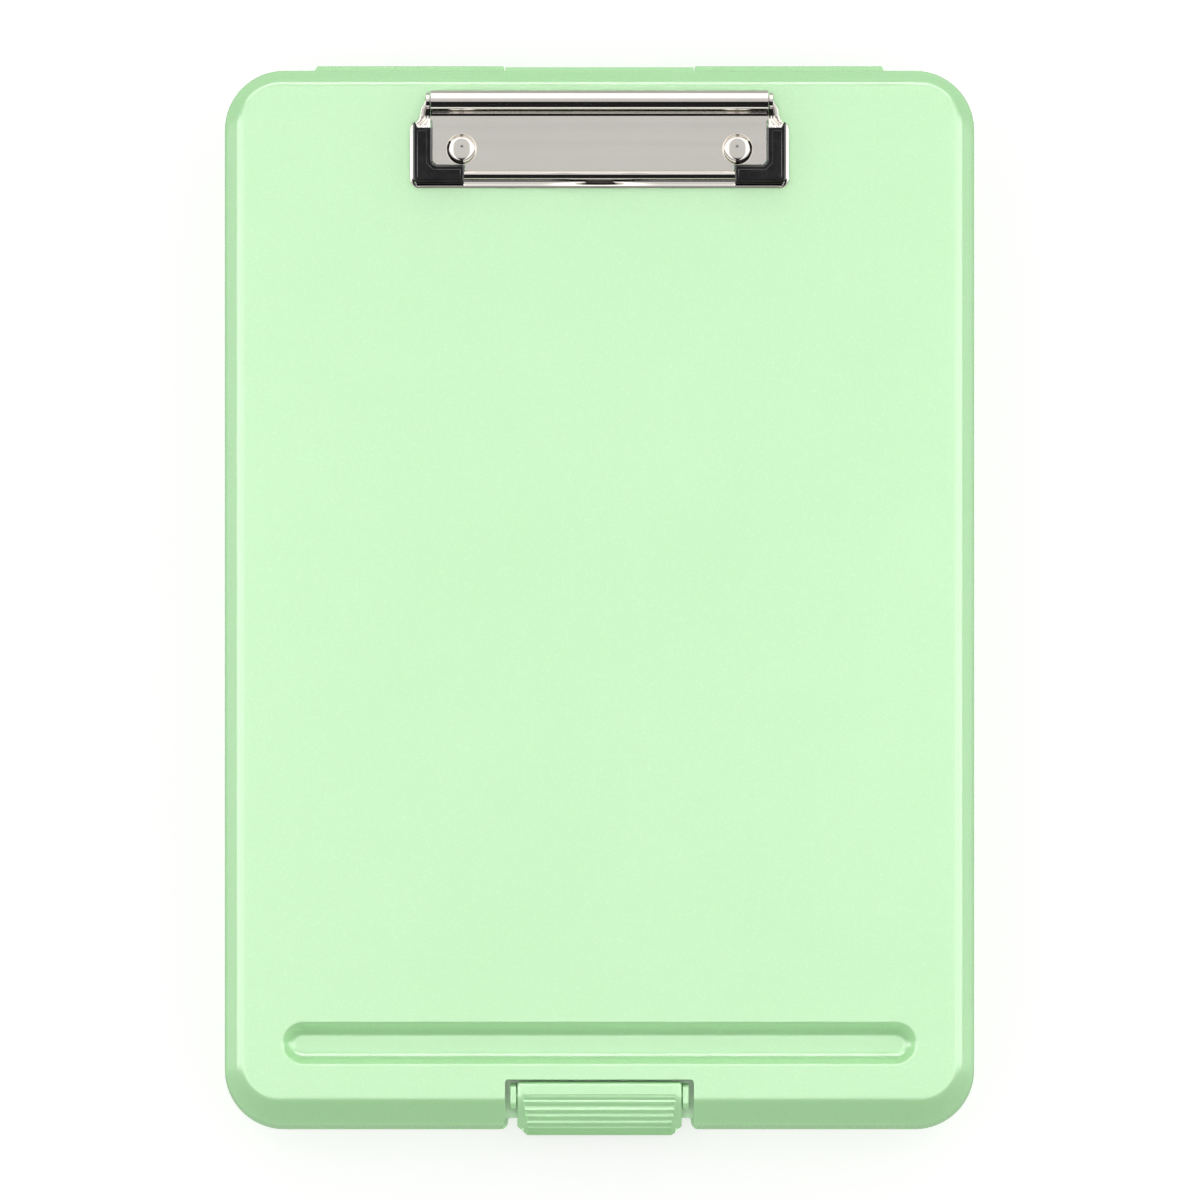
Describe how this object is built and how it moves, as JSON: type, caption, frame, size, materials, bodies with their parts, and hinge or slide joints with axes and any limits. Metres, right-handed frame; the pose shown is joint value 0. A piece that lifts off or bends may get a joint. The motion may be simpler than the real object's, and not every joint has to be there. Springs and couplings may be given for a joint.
{
  "type": "storage clipboard box",
  "caption": "Shallow hinged clipboard case with a low-profile paper clip, a pen groove in the lid and a fluted front latch.",
  "frame": {"origin": "middle of the tray's underside, which is the face that the case rests on", "axes": "+X to the right across the case, +Y towards the hinge edge, +Z out of the writing face"},
  "size_m": [0.24, 0.3425, 0.0321],
  "materials": {
    "tray_plastic": "satin moulded plastic, mint green",
    "lid_plastic": "satin moulded plastic, mint green",
    "latch_plastic": "satin moulded plastic, mint green",
    "plate_chrome": "bright nickel-chrome plate on sheet steel",
    "jaw_chrome": "bright nickel-chrome plate on sheet steel",
    "rivet_chrome": "bright plated rivet",
    "rod_steel": "drawn wire, plated",
    "pin_steel": "drawn wire",
    "spring_steel": "spring wire",
    "washer_steel": "zinc-plated washer",
    "grip_black": "glossy black vinyl"
  },
  "bodies": {
    "tray": {"base_tray": "tray_plastic", "catch_wall": "tray_plastic", "hinge_pin": "pin_steel"},
    "lid": {"lid": "lid_plastic", "clip_plate": "plate_chrome", "clip_springs": "spring_steel", "rivets": "rivet_chrome", "rivet_washers": "washer_steel"},
    "latch": {"latch": "latch_plastic"},
    "jaw": {"clip_jaw": "jaw_chrome", "clip_rod": "rod_steel", "grip_left": "grip_black", "grip_right": "grip_black"}
  },
  "joints": [
    {"name": "lid_hinge", "type": "hinge", "parent": "tray", "child": "lid", "pos_m": [0, 0.168, 0.0122], "axis": [-1, 0, 0], "range_deg": [0, 180]},
    {"name": "latch_pivot", "type": "hinge", "parent": "lid", "child": "latch", "pos_m": [0, -0.1588, 0.0225], "axis": [-1, 0, 0], "range_deg": [0, 75]},
    {"name": "clip_jaw_pivot", "type": "hinge", "parent": "lid", "child": "jaw", "pos_m": [0, 0.1597, 0.0287], "axis": [-1, 0, 0], "range_deg": [0, 45], "stiffness_Nm_per_rad": 0.35, "springref_deg": -51.57, "deforming": ["clip_springs"]}
  ]
}
